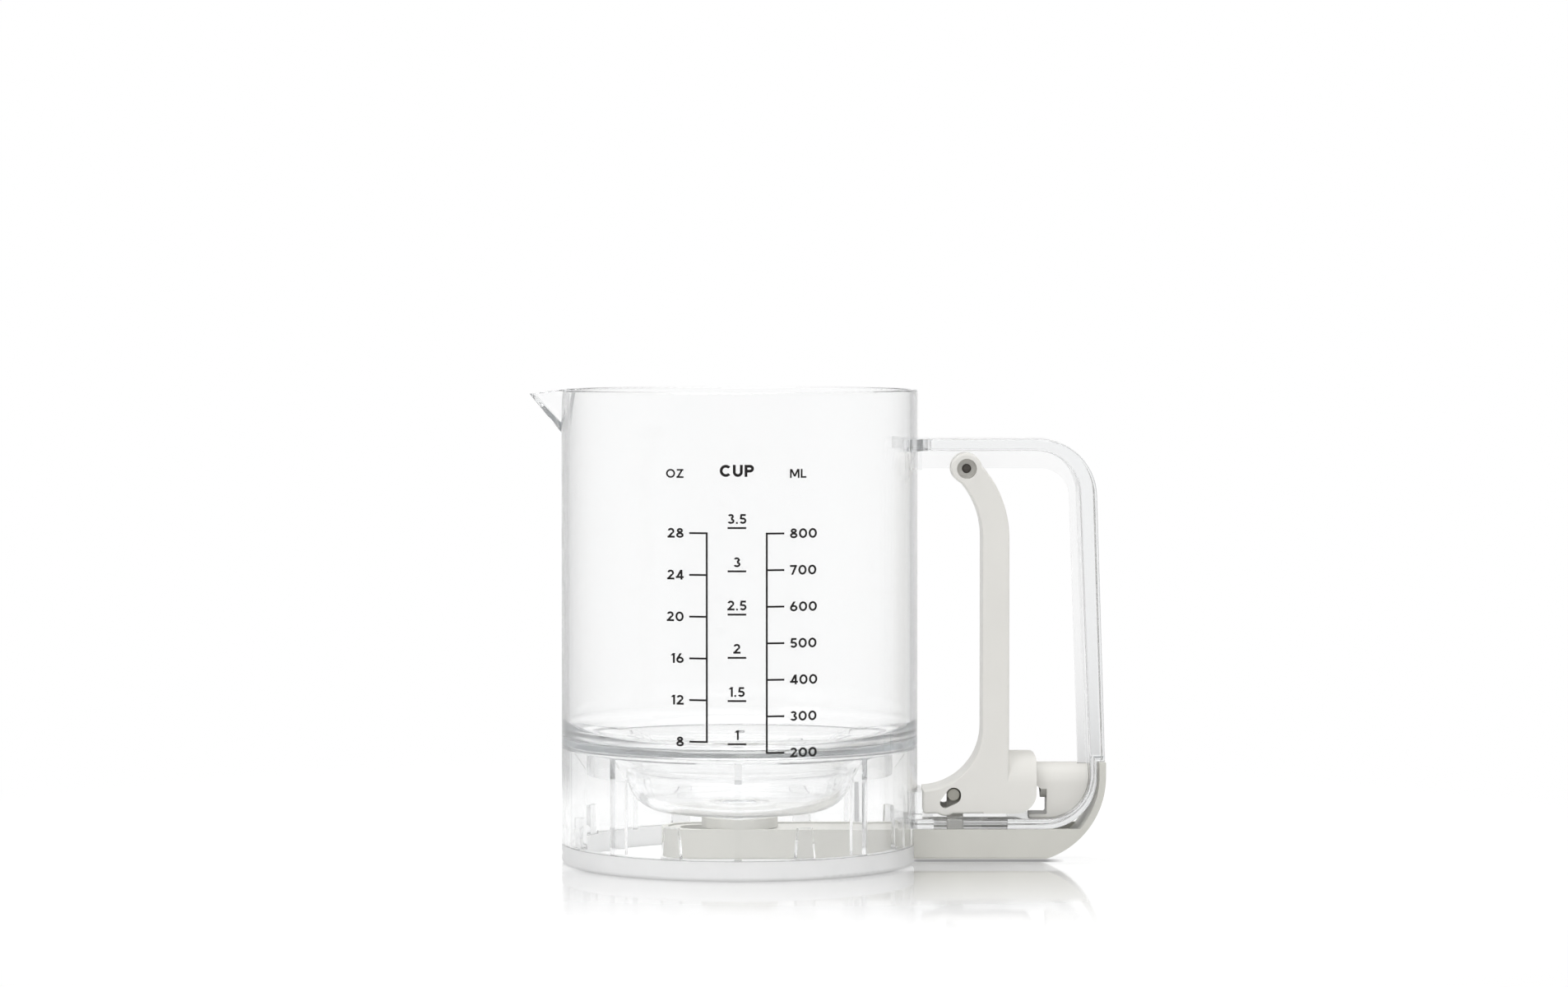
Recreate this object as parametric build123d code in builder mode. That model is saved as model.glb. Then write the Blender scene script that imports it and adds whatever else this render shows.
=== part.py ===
from build123d import *
import math
import os

# Batter shaker: a clear measuring jug with a funnel floor, carried by a clear handle.
# Squeezing the lever in the handle pulls a gate open under the funnel's outlet.
# Frame: origin on the jug's axis at floor level, +Z up, +X toward the handle. Millimetres.

os.makedirs("parts", exist_ok=True)

# Driving dimensions, read off the photograph. Those that end in "out" start at the jug's wall.
jug_radius = 55.75
jug_height = 148.0
wall = 2.3
foot_height = 6.0
cup_radius = 35.6
shoulder_corner = 40.6
shoulder_foot = 31.4
cup_floor_edge = 19.2
cup_floor_mid = 16.9
spout_out = 11.2
spout_droop = 1.7
spout_depth = 13.6
handle_width = 24.0
lever_width = 20.0
pivot_out = 15.05
pivot_z = 123.4
drive_out = 11.05
drive_z = 21.65
grip_out = 55.45
corner_inset = 23.9
spring_z = 24.8
cover_bottom = 1.8
cover_top = 11.1

# Clearances
running_fit = 0.05
slide_gap = 0.15
loose_gap = 0.3
joint_gap = 0.02
slot_gap = 0.4

# Sizes of the working parts
outlet_radius = 5.8
neck_radius = 9.0
seal_inner = 6.7
seal_outer = 8.2
gate_thickness = 2.6
squeeze_deg = 7.2
drive_arm = pivot_z - drive_z
stroke = drive_arm * math.radians(squeeze_deg)
slot_rise = drive_arm * (1 - math.cos(math.radians(squeeze_deg)))
pin_radius = 1.4
trunnion_radius = 1.9
lever_half = lever_width / 2
handle_half = handle_width / 2

# Dimensions that follow from those above
inner_radius = jug_radius - wall
spout_reach = jug_radius + spout_out
pivot_x = jug_radius + pivot_out
drive_x = jug_radius + drive_out
cup_inner = cup_radius - wall
gate_top = cover_top - 0.4
gate_bottom = gate_top - gate_thickness
neck_bottom = gate_top + 0.8
bar_bottom = cover_top
bar_top = bar_bottom + 3.2


def radial_plane(angle):
    """Upright plane through the jug's axis, with its x direction along the radius."""
    a = math.radians(angle)
    return Plane(origin=(0, 0, 0), x_dir=(math.cos(a), math.sin(a), 0), z_dir=(math.sin(a), -math.cos(a), 0))


def tangent_plane(angle, radius):
    """Upright plane square to the radius, at that distance from the jug's axis."""
    a = math.radians(angle)
    out = (math.cos(a), math.sin(a), 0)
    return Plane(origin=(radius * out[0], radius * out[1], 0), x_dir=(-out[1], out[0], 0), z_dir=out)


# Jug body: wall, funnel shoulder, cup and outlet neck turned as one profile
slope = (shoulder_corner - shoulder_foot) / (inner_radius - cup_inner)
shoulder_drop = wall * math.hypot(1, slope)
floor_slope = (cup_floor_edge - cup_floor_mid) / (cup_inner - outlet_radius)
floor_drop = wall * math.hypot(1, floor_slope)
under_wall = shoulder_corner - shoulder_drop
under_cup = shoulder_foot + wall * slope - shoulder_drop
under_edge = cup_floor_edge + wall * floor_slope - floor_drop
under_neck = cup_floor_mid + (neck_radius - outlet_radius) * floor_slope - floor_drop

# Spout: an oblique cone on the rim, drawn as its plan and the point it runs down to
spout_nose = 3.2
spout_wall = 2.0
spout_half = 15.0
spout_tail_x = 9.75 - jug_radius
apex_x = 6.75 - jug_radius
apex_drop = spout_depth * (spout_reach + apex_x) / (spout_reach - jug_radius)
spout_rim = Plane.XY.offset(jug_height)

with BuildSketch(spout_rim) as spout_outer:
    with BuildLine():
        CenterArc((-spout_reach + spout_nose, 0), spout_nose, 0, 360)
        CenterArc((spout_tail_x, spout_half), 1.0, 0, 360)
        CenterArc((spout_tail_x, -spout_half), 1.0, 0, 360)
    make_hull()

with BuildSketch(spout_rim) as spout_inner:
    with BuildLine():
        CenterArc((-spout_reach + spout_nose, 0), spout_nose - spout_wall, 0, 360)
        CenterArc((spout_tail_x + spout_wall, spout_half - 1.0), 0.4, 0, 360)
        CenterArc((spout_tail_x + spout_wall, -spout_half + 1.0), 0.4, 0, 360)
    make_hull()

rim_round = 0.7
rib_thickness = 2.2
rib_depth = 4.95
rib_inner = inner_radius - rib_depth
notch_half = handle_half + loose_gap
collar_bottom = 28.0
collar_thickness = 2.2
collar_outer = rib_inner - 0.5
collar_inner = collar_outer - collar_thickness
rib_top = under_wall - 2.0
rib_shoulder = collar_bottom + 1.0
collar_top = under_cup + (collar_outer - cup_radius) * slope + 0.6

with BuildPart() as jug_body:
    with BuildSketch(Plane.XZ):
        with BuildLine():
            inside = FilletPolyline(
                (jug_radius - wall / 2, jug_height),
                (inner_radius, jug_height),
                (inner_radius, shoulder_corner),
                (cup_inner, shoulder_foot),
                (cup_inner, cup_floor_edge),
                (outlet_radius, cup_floor_mid),
                (outlet_radius, neck_bottom),
                radius=[rim_round, 7.0, 4.0, 9.7, 1.2],
            )
            underside = FilletPolyline(
                (neck_radius, neck_bottom),
                (neck_radius, under_neck),
                (cup_radius, under_edge),
                (cup_radius, under_cup),
                (inner_radius, under_wall),
                (inner_radius, foot_height),
                radius=[1.0, 12.0, 3.0, 1.5],
            )
            Line(inside @ 1, underside @ 0)
            FilletPolyline(
                underside @ 1,
                (jug_radius, foot_height),
                (jug_radius, jug_height),
                inside @ 0,
                radius=[0, rim_round],
            )
        make_face()
    revolve(axis=Axis.Z)
    # Stiffening collar that hangs from the shoulder
    with BuildSketch(Plane.XY.offset(collar_bottom)):
        Circle(collar_outer)
        Circle(collar_inner, mode=Mode.SUBTRACT)
    extrude(amount=collar_top - collar_bottom)
    # Eight ribs down the inside of the skirt
    for k in range(8):
        with BuildSketch(radial_plane(45 * k)):
            with BuildLine():
                Polyline(
                    (inner_radius + 0.4, foot_height),
                    (rib_inner, foot_height),
                    (rib_inner, rib_shoulder),
                    (inner_radius + 0.4, rib_top),
                    close=True,
                )
            make_face()
        extrude(amount=rib_thickness / 2, both=True)
    # Pouring spout
    loft(sections=[spout_outer.sketch, Vertex(apex_x, 0, jug_height - apex_drop)], ruled=True)
    loft(
        sections=[spout_inner.sketch, Vertex(apex_x + spout_wall, 0, jug_height - apex_drop + 1.7 * spout_wall)],
        ruled=True,
        mode=Mode.SUBTRACT,
    )
    with Locations((0, 0, (jug_height + shoulder_corner + 8) / 2)):
        Cylinder(inner_radius, jug_height - shoulder_corner - 8, mode=Mode.SUBTRACT)
    with BuildSketch(Plane.XZ):
        with BuildLine():
            Polyline(
                (-jug_radius, jug_height),
                (-spout_reach - 1, jug_height - spout_droop),
                (-spout_reach - 1, jug_height + 2),
                (-jug_radius, jug_height + 2),
                close=True,
            )
        make_face()
    extrude(amount=20, both=True, mode=Mode.SUBTRACT)
    # Groove for the seal in the end of the neck
    with BuildSketch(Plane.XY.offset(neck_bottom)):
        Circle(seal_outer + 0.1)
        Circle(seal_inner - 0.1, mode=Mode.SUBTRACT)
    extrude(amount=1.2, mode=Mode.SUBTRACT)
    # Notch in the skirt that the base cover passes through
    with Locations((jug_radius - 5, 0, (cover_top + loose_gap) / 2)):
        Box(16, 2 * notch_half, cover_top + loose_gap, mode=Mode.SUBTRACT)
jug_body.part.label = "jug_body"
export_step(jug_body.part, "parts/jug_body.step")

# Foot ring: milky band under the skirt, with eight tongues that stand up inside it
foot_depth = 4.75
foot_inner = jug_radius - foot_depth
tongue_top = 15.6
tongue_thickness = 1.9

with BuildPart() as foot_ring:
    with BuildSketch(Plane.XZ):
        with BuildLine():
            FilletPolyline(
                (foot_inner, 0),
                (jug_radius, 0),
                (jug_radius, foot_height),
                (foot_inner, foot_height),
                radius=[0.4, 1.2, 0, 0],
                close=True,
            )
        make_face()
    revolve(axis=Axis.Z)
    for k in range(8):
        with BuildSketch(tangent_plane(22.5 + 45 * k, foot_inner + 0.05)):
            with BuildLine():
                Polyline(
                    (-3.2, foot_height - 1.0),
                    (3.2, foot_height - 1.0),
                    (2.3, tongue_top),
                    (-2.3, tongue_top),
                    close=True,
                )
            make_face()
        extrude(amount=tongue_thickness)
    with Locations((jug_radius, 0, foot_height / 2)):
        Box(30, 2 * notch_half, foot_height + 2, mode=Mode.SUBTRACT)
foot_ring.part.label = "foot_ring"
export_step(foot_ring.part, "parts/foot_ring.step")

# Handle: clear T section, a wide flange outside and a thin web inside
top_z = 132.8
flange_z = 129.0
web_z = 123.3
web_half = 2.0
grip_top_z = 114.5
root_x = jug_radius - 3.75
step_z = 32.2
lower_x = jug_radius + grip_out + 0.2
flange_depth = 5.4
web_depth = 2.6
top_outer_round = 18.2
top_middle_round = 13.6
web_round = 9.2
low_outer_round = 16.2
low_middle_round = 13.2


def grip_outer(z):
    """Outer face of the grip, which leans out toward the bottom."""
    return jug_radius + grip_out + (grip_top_z - z) * 2.6 / 80.4


def grip_middle(z):
    """Face between the flange and the web."""
    return jug_radius + grip_out - flange_depth + (grip_top_z - z) * 3.1 / 80.4


def grip_inner(z):
    """Inner edge of the web."""
    return jug_radius + grip_out - flange_depth - web_depth + (grip_top_z - z) * 2.7 / 79.6


web_end = 22.0
slot_left = drive_x - 6.1
slot_right = drive_x + stroke + 4.21
slot_half = 4.5
stop_x = jug_radius + 1.15
stop_top = drive_z + 0.95
lug_radius = 4.3
flare_half = 23.5
flare_inset = 0.05
flare_start = root_x + 0.6
flare_neck = root_x + 7.0
flare_end = root_x + 22.0
flare_bar_half = handle_half - 1.5

with BuildPart() as handle:
    with BuildSketch(Plane.XZ):
        with BuildLine():
            FilletPolyline(
                (root_x, top_z),
                (grip_outer(top_z), top_z),
                (grip_outer(step_z), step_z),
                (lower_x, step_z),
                (lower_x, bar_bottom),
                (root_x, bar_bottom),
                (root_x, bar_top),
                (grip_middle(bar_top), bar_top),
                (grip_middle(flange_z), flange_z),
                (root_x, flange_z),
                radius=[
                    0, top_outer_round, 0, 0, low_outer_round, 0, 0, low_middle_round, top_middle_round, 0
                ],
                close=True,
            )
        make_face()
    extrude(amount=handle_half, both=True)
    fillet(handle.faces().sort_by(Axis.Y)[0].edges() + handle.faces().sort_by(Axis.Y)[-1].edges(), radius=0.7)
    # Web, down to where the spring housing straddles it
    with BuildSketch(Plane.XZ):
        with BuildLine():
            FilletPolyline(
                (root_x, flange_z + 0.6),
                (grip_middle(flange_z) + 0.6, flange_z + 0.6),
                (grip_middle(web_end) + 0.4, web_end),
                (grip_inner(web_end), web_end),
                (grip_inner(web_z), web_z),
                (root_x, web_z),
                radius=[0, top_middle_round, 0, 0, web_round, 0],
                close=True,
            )
        make_face()
    extrude(amount=web_half, both=True)
    # Lug around the pivot
    with BuildSketch(Plane.XZ):
        with Locations((pivot_x, pivot_z)):
            Circle(lug_radius)
    extrude(amount=web_half, both=True)
    # Flared root of the top bar, and the plates bonded to the jug
    with BuildSketch(Plane.XY.offset(flange_z + flare_inset)):
        with BuildLine():
            FilletPolyline(
                (root_x - 8, -flare_half),
                (flare_start, -flare_half),
                (flare_neck, -flare_bar_half),
                (flare_end, -flare_bar_half),
                (flare_end, flare_bar_half),
                (flare_neck, flare_bar_half),
                (flare_start, flare_half),
                (root_x - 8, flare_half),
                radius=[0, 0.6, 9.0, 0, 0, 9.0, 0.6, 0],
                close=True,
            )
        make_face()
    extrude(amount=top_z - flange_z - 2 * flare_inset)
    with Locations((root_x + 2.4, 0, (web_z + flange_z) / 2)):
        Box(4.8, 2 * handle_half - 4, flange_z - web_z + 0.5)
    with Locations(((root_x + stop_x) / 2, 0, (bar_bottom + stop_top) / 2)):
        Box(stop_x - root_x, 2 * handle_half - 1.4, stop_top - bar_bottom)
    with Locations((0, 0, jug_height / 2)):
        Cylinder(jug_radius + joint_gap, jug_height, mode=Mode.SUBTRACT)
    # Slot that the drive link moves along
    with Locations(((slot_left + slot_right) / 2, 0, (bar_bottom + bar_top) / 2)):
        Box(slot_right - slot_left, 2 * slot_half, 10, mode=Mode.SUBTRACT)
    with BuildSketch(Plane.XZ):
        with Locations((pivot_x, pivot_z)):
            Circle(pin_radius + joint_gap)
    extrude(amount=web_half + 1, both=True, mode=Mode.SUBTRACT)
handle.part.label = "handle"
export_step(handle.part, "parts/handle.step")

# Base cover: the boat-shaped channel under the bar, which closes the handle's lower corner
cover_half = handle_half
cover_wall = 2.0
cover_floor = cover_bottom + 2.0
corner_x = jug_radius + grip_out - corner_inset
corner_z = 27.4
corner_radius = 26.85
cover_end_top = step_z - 0.4
cover_left = -12.5
channel_half = cover_half - cover_wall
end_inner = corner_radius - cover_wall


def arc_x(radius, z):
    """X of the cover's corner arc at height z."""
    return corner_x + math.sqrt(radius**2 - (corner_z - z) ** 2)


def arc_point(radius, degrees):
    """Point of the cover's corner arc, as x and z."""
    a = math.radians(degrees)
    return (corner_x + radius * math.cos(a), corner_z + radius * math.sin(a))


rail_top = gate_bottom - slide_gap
rail_width = 2.0
rail_left = cover_left + 0.5
rail_right = corner_x + 2.7
tube_inner = 6.8
tube_outer = 8.6

with BuildPart() as base_cover:
    with BuildSketch(Plane.XZ):
        with BuildLine():
            Line((cover_left, cover_bottom), (arc_x(corner_radius, cover_bottom), cover_bottom))
            ThreePointArc(
                (arc_x(corner_radius, cover_bottom), cover_bottom),
                arc_point(corner_radius, -30),
                (corner_x + corner_radius, corner_z),
            )
            Polyline(
                (corner_x + corner_radius, corner_z),
                (corner_x + corner_radius, cover_end_top),
                (corner_x + end_inner, cover_end_top),
                (corner_x + end_inner, corner_z),
            )
            ThreePointArc(
                (corner_x + end_inner, corner_z),
                arc_point(end_inner, -20),
                (arc_x(end_inner, cover_top), cover_top),
            )
            Polyline(
                (arc_x(end_inner, cover_top), cover_top),
                (cover_left, cover_top),
                (cover_left, cover_bottom),
            )
        make_face()
    extrude(amount=cover_half, both=True)
    with Locations((cover_left, 0, (cover_bottom + cover_top) / 2)):
        Cylinder(cover_half, cover_top - cover_bottom)
    fillet(base_cover.faces().sort_by(Axis.Z)[0].edges(), radius=0.8)
    # Channel, with the same end curve as the outside
    with BuildSketch(Plane.XZ):
        with BuildLine():
            Line((cover_left, cover_floor), (arc_x(end_inner, cover_floor), cover_floor))
            ThreePointArc(
                (arc_x(end_inner, cover_floor), cover_floor),
                arc_point(end_inner, -50),
                (arc_x(end_inner, cover_top + 1), cover_top + 1),
            )
            Polyline(
                (arc_x(end_inner, cover_top + 1), cover_top + 1),
                (cover_left, cover_top + 1),
                (cover_left, cover_floor),
            )
        make_face()
    extrude(amount=channel_half, both=True, mode=Mode.SUBTRACT)
    with Locations((cover_left, 0, (cover_floor + cover_top + 1) / 2)):
        Cylinder(channel_half, cover_top + 1 - cover_floor, mode=Mode.SUBTRACT)
    # Rails that carry the gate
    for side in (-1, 1):
        rail_y = side * (channel_half - rail_width / 2 + 0.2)
        with Locations(((rail_left + rail_right) / 2, rail_y, (cover_floor + rail_top) / 2)):
            Box(rail_right - rail_left, rail_width + 0.4, rail_top - cover_floor)
    # Outlet tube below the gate, and the collar that slips over the neck above it
    with Locations((0, 0, (cover_floor + rail_top) / 2)):
        Cylinder(tube_outer, rail_top - cover_floor)
    with Locations((0, 0, cover_floor)):
        Cylinder(tube_inner, 12, mode=Mode.SUBTRACT)
    with BuildSketch(Plane.XY.offset(cover_top - 0.1)):
        Circle(cover_half - 0.05)
        Circle(neck_radius + 0.3, mode=Mode.SUBTRACT)
    extrude(amount=3.2)
base_cover.part.label = "base_cover"
export_step(base_cover.part, "parts/base_cover.step")

# Valve gate: a plate with a hole that lines up with the outlet at the end of the stroke
gate_half = channel_half - 0.4
gate_left = cover_left + 0.1
gate_right = drive_x + 9.2
gate_hole = outlet_radius + 0.2
gate_rib_left = 26.0
gate_rib_right = drive_x - 4.8
gate_rib_depth = 1.6
post_x = drive_x + 0.7
post_half_x = 2.5
post_half_y = 4.0
tenon_half_x = 2.0
tenon_half_y = 3.0

with BuildPart() as valve_gate:
    with BuildSketch(Plane.XY.offset(gate_bottom)):
        with Locations(((gate_left + gate_right) / 2, 0)):
            Rectangle(gate_right - gate_left, 2 * gate_half)
        with Locations((gate_left, 0)):
            Circle(gate_half)
        with Locations((-stroke, 0)):
            Circle(gate_hole, mode=Mode.SUBTRACT)
        with Locations((post_x, 0)):
            Rectangle(2 * tenon_half_x + 0.2, 2 * tenon_half_y + 0.2, mode=Mode.SUBTRACT)
    extrude(amount=gate_thickness)
    # Stiffening rib under the plate, between the rails
    with Locations(((gate_rib_left + gate_rib_right) / 2, 0, gate_bottom - gate_rib_depth / 2)):
        Box(gate_rib_right - gate_rib_left, 3.0, gate_rib_depth)
valve_gate.part.label = "valve_gate"
export_step(valve_gate.part, "parts/valve_gate.step")

# Drive link: a post with a cross bar whose ends sit in the lever's slots
trunnion_half = lever_half - 0.8

with BuildPart() as drive_link:
    with Locations((post_x, 0, (gate_top + drive_z + 0.6) / 2)):
        Box(2 * post_half_x, 2 * post_half_y, drive_z + 0.6 - gate_top)
    fillet(drive_link.edges().filter_by(Axis.Z), radius=0.8)
    with Locations((post_x, 0, (gate_bottom + gate_top) / 2)):
        Box(2 * tenon_half_x, 2 * tenon_half_y, gate_top - gate_bottom)
    with BuildSketch(Plane.XZ):
        with Locations((drive_x, drive_z)):
            Circle(trunnion_radius)
    extrude(amount=trunnion_half, both=True)
    fillet(drive_link.faces().sort_by(Axis.Y)[0].edges() + drive_link.faces().sort_by(Axis.Y)[-1].edges(), radius=0.4)
drive_link.part.label = "drive_link"
export_step(drive_link.part, "parts/drive_link.step")

# Valve seal: silicone ring in the neck, just clear of the gate
with BuildPart() as valve_seal:
    with BuildSketch(Plane.XZ):
        with BuildLine():
            FilletPolyline(
                (seal_inner, gate_top + 0.1),
                (seal_outer, gate_top + 0.1),
                (seal_outer, neck_bottom + 1.15),
                (seal_inner, neck_bottom + 1.15),
                radius=[0.4, 0.4, 0.1, 0.1],
                close=True,
            )
        make_face()
    revolve(axis=Axis.Z)
valve_seal.part.label = "valve_seal"
export_step(valve_seal.part, "parts/valve_seal.step")

# Spring housing: arch-shaped block in the lower corner of the handle, with a hood over the spring
housing_half = 6.4
housing_left = corner_x + 8.7
hood_left = housing_left - 4.1
hood_rise = 0.2
hood_drop = 1.6
nose_left = housing_left - 1.8
nose_radius = 4.8
foot_left = housing_left - 5.4
bore_radius = 3.9
bore_end = housing_left + 7.0
seat_gap = 0.05
grip_gap = 0.15
groove_gap = 0.3
groove_end = lower_x + 8.6
groove_top = spring_z + 15.2

with BuildPart() as spring_housing:
    with BuildSketch(Plane.XZ):
        with BuildLine():
            FilletPolyline(
                (foot_left, bar_top + seat_gap),
                (grip_middle(bar_top) - grip_gap, bar_top + seat_gap),
                (grip_middle(spring_z + housing_half) - grip_gap, spring_z + housing_half),
                (hood_left, spring_z + housing_half),
                (hood_left, spring_z + hood_rise),
                (nose_left, spring_z - hood_drop),
                (housing_left, spring_z - hood_drop),
                (housing_left, bar_top + 0.9),
                (foot_left, bar_top + 0.9),
                radius=[0, low_middle_round - grip_gap, 0, 0, 0, 0, 0, 0.6, 0],
                close=True,
            )
        make_face()
    extrude(amount=housing_half, both=True)
    with BuildSketch(Plane.YZ.offset(foot_left - 2)):
        with Locations((0, spring_z)):
            Circle(housing_half)
        with Locations((0, spring_z - 10)):
            Rectangle(2 * housing_half, 20)
    extrude(amount=30, mode=Mode.INTERSECT)
    # Round nose below the hood, and the bore that the spring sits in
    with BuildSketch(Plane.YZ.offset(nose_left)):
        with Locations((0, spring_z)):
            Circle(nose_radius)
    extrude(amount=housing_left - nose_left + 1)
    with BuildSketch(Plane.YZ.offset(hood_left - 1)):
        with Locations((0, spring_z)):
            Circle(bore_radius)
    extrude(amount=bore_end - hood_left + 1, mode=Mode.SUBTRACT)
    # Groove that straddles the web
    with BuildSketch(Plane.XZ):
        with BuildLine():
            Polyline(
                (grip_inner(web_end) - groove_gap, web_end - groove_gap),
                (groove_end, web_end - groove_gap),
                (groove_end, groove_top),
                (grip_inner(groove_top) - groove_gap, groove_top),
                close=True,
            )
        make_face()
    extrude(amount=web_half + 0.2, both=True, mode=Mode.SUBTRACT)
spring_housing.part.label = "spring_housing"
export_step(spring_housing.part, "parts/spring_housing.step")

# Lever: forked head on the pivot, channel-shaped shaft, hollow toe and heel
neck_x = pivot_x - 21.12
neck_z = pivot_z - 21.71
boss_radius = 4.8
shaft_depth = 8.46
shaft_left = pivot_x + boss_radius
shaft_right = shaft_left + shaft_depth
neck_in = shaft_left - neck_x
neck_out = shaft_right - neck_x
head_angle = math.degrees(math.atan2(pivot_z - neck_z, pivot_x - neck_x))
toe_radius = 19.0
toe_z = 42.1
toe_x = shaft_left - toe_radius
toe_left = stop_x + loose_gap
lever_bottom = bar_top + 1.5
heel_right = shaft_right + 8.64
recess_radius = 3.1
recess_depth = 4.0
cheek_inner = 7.6
lever_wall = 2.3
ceiling_radius = toe_radius + 1.0
fork_half = web_half + 0.35
fork_bottom = pivot_z - 5.0
stud_radius = 2.4
stud_length = 1.5
slot_radius = trunnion_radius + slot_gap
slot_drop = slot_rise - slot_gap + 0.1
comma_x = drive_x - 2.6
comma_z = drive_z - 2.5
comma_radius = 1.65
bite_x = drive_x - 3.5
bite_z = drive_z - 0.75
bite_radius = 1.3
lobe_radius = 4.1


def neck_point(radius, degrees):
    """Point of the lever's curved neck, as x and z."""
    a = math.radians(degrees)
    return (neck_x + radius * math.cos(a), neck_z + radius * math.sin(a))


def toe_point(radius, x):
    """Point of the toe's hollow curve at x, as x and z."""
    return (x, toe_z - math.sqrt(radius**2 - (x - toe_x) ** 2))


with BuildPart() as heel_form:
    with BuildSketch(Plane.XZ):
        with BuildLine():
            FilletPolyline(
                (shaft_left + 0.5, lever_bottom),
                (heel_right, lever_bottom),
                (heel_right, spring_z + lever_half),
                (shaft_left + 0.5, spring_z + lever_half),
                radius=[0, 6.5, 2.4, 0],
                close=True,
            )
        make_face()
    extrude(amount=lever_half, both=True)
    with BuildSketch(Plane.YZ.offset(shaft_left - 2)):
        with Locations((0, spring_z)):
            Circle(lever_half)
        with Locations((0, spring_z - 10)):
            Rectangle(2 * lever_half, 20)
    extrude(amount=40, mode=Mode.INTERSECT)

with BuildPart() as lever:
    with BuildSketch(Plane.XZ) as lever_outline:
        with BuildLine():
            Line((shaft_left, neck_z), (shaft_left, toe_z))
            ThreePointArc(
                (shaft_left, toe_z),
                toe_point(toe_radius, toe_x + 0.72 * toe_radius),
                toe_point(toe_radius, toe_left),
            )
            FilletPolyline(
                toe_point(toe_radius, toe_left),
                (toe_left, lever_bottom),
                (shaft_right, lever_bottom),
                (shaft_right, neck_z),
                radius=[1.0, 0],
            )
            ThreePointArc((shaft_right, neck_z), neck_point(neck_out, 20), neck_point(neck_out, head_angle))
            Line(neck_point(neck_out, head_angle), neck_point(neck_in, head_angle))
            ThreePointArc(neck_point(neck_in, head_angle), neck_point(neck_in, 20), (shaft_left, neck_z))
        make_face()
        with Locations((pivot_x, pivot_z)):
            Circle(boss_radius)
        boss_joints = lever_outline.vertices().sort_by_distance((pivot_x, pivot_z, 0))[:2]
        fillet(boss_joints, radius=3.0)
        # Lobe that keeps the wall round the end of the comma slots
        with Locations((comma_x, comma_z)):
            Circle(lobe_radius)
    extrude(amount=lever_half, both=True)
    fillet(lever.faces().sort_by(Axis.Y)[0].edges() + lever.faces().sort_by(Axis.Y)[-1].edges(), radius=0.7)
    add(heel_form.part)
    # Shaft, open on the side toward the grip
    with BuildSketch(Plane.XZ):
        with BuildLine():
            Polyline(
                (shaft_left + lever_wall, neck_z),
                (shaft_left + lever_wall, spring_z + lever_half + 2.2),
                (shaft_right + 6, spring_z + lever_half + 2.2),
                (shaft_right + 6, neck_z),
            )
            ThreePointArc((shaft_right + 6, neck_z), neck_point(neck_out + 6, 9), neck_point(neck_out + 6, 18))
            Line(neck_point(neck_out + 6, 18), neck_point(neck_in + lever_wall, 18))
            ThreePointArc(
                neck_point(neck_in + lever_wall, 18),
                neck_point(neck_in + lever_wall, 9),
                (shaft_left + lever_wall, neck_z),
            )
        make_face()
    extrude(amount=cheek_inner, both=True, mode=Mode.SUBTRACT)
    # Heel, open toward the spring housing and below
    with BuildSketch(Plane.YZ.offset(shaft_left + lever_wall)):
        with Locations((0, spring_z)):
            Circle(cheek_inner)
        with Locations((0, spring_z - 10)):
            Rectangle(2 * cheek_inner, 20)
    extrude(amount=30, mode=Mode.SUBTRACT)
    # Toe, open below
    with BuildSketch(Plane.XZ):
        with BuildLine():
            Polyline(
                toe_point(ceiling_radius, toe_left + 2.2),
                (toe_left + 2.2, lever_bottom - 1),
                (shaft_left, lever_bottom - 1),
                toe_point(ceiling_radius, shaft_left),
            )
            ThreePointArc(
                toe_point(ceiling_radius, shaft_left),
                toe_point(ceiling_radius, toe_x + 12),
                toe_point(ceiling_radius, toe_left + 2.2),
            )
        make_face()
    extrude(amount=cheek_inner, both=True, mode=Mode.SUBTRACT)
    # Stud that centres the spring on its seat
    with BuildSketch(Plane.YZ.offset(shaft_left + lever_wall - 0.2)):
        with Locations((0, spring_z)):
            Circle(stud_radius)
    extrude(amount=stud_length + 0.2)
    # Fork for the web, pin hole and the round recesses over it
    with Locations((pivot_x, 0, fork_bottom + 15)):
        Box(40, 2 * fork_half, 30, mode=Mode.SUBTRACT)
    with BuildSketch(Plane.XZ):
        with Locations((pivot_x, pivot_z)):
            Circle(pin_radius + running_fit)
    extrude(amount=lever_half + 1, both=True, mode=Mode.SUBTRACT)
    for side in (-1, 1):
        with BuildSketch(Plane.XZ.offset(side * (lever_half - recess_depth))):
            with Locations((pivot_x, pivot_z)):
                Circle(recess_radius)
        extrude(amount=side * (recess_depth + 1), mode=Mode.SUBTRACT)
    # Comma-shaped slots for the ends of the drive link, in the two cheeks
    for side in (-1, 1):
        with BuildSketch(Plane.XZ.offset(side * (cheek_inner - 0.1))):
            with BuildLine():
                CenterArc((drive_x, drive_z), trunnion_radius, 0, 360)
                CenterArc((comma_x, comma_z), comma_radius, 0, 360)
            make_hull()
            with Locations((bite_x, bite_z)):
                Circle(bite_radius, mode=Mode.SUBTRACT)
            with BuildLine():
                CenterArc((drive_x, drive_z), slot_radius, 0, 360)
                CenterArc((drive_x, drive_z - slot_drop), slot_radius, 0, 360)
            make_hull()
        extrude(amount=side * lever_half, mode=Mode.SUBTRACT)
lever.part.label = "lever"
export_step(lever.part, "parts/lever.step")

# Pivot pin across the fork
pin_half = lever_half - recess_depth + 0.6

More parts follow.
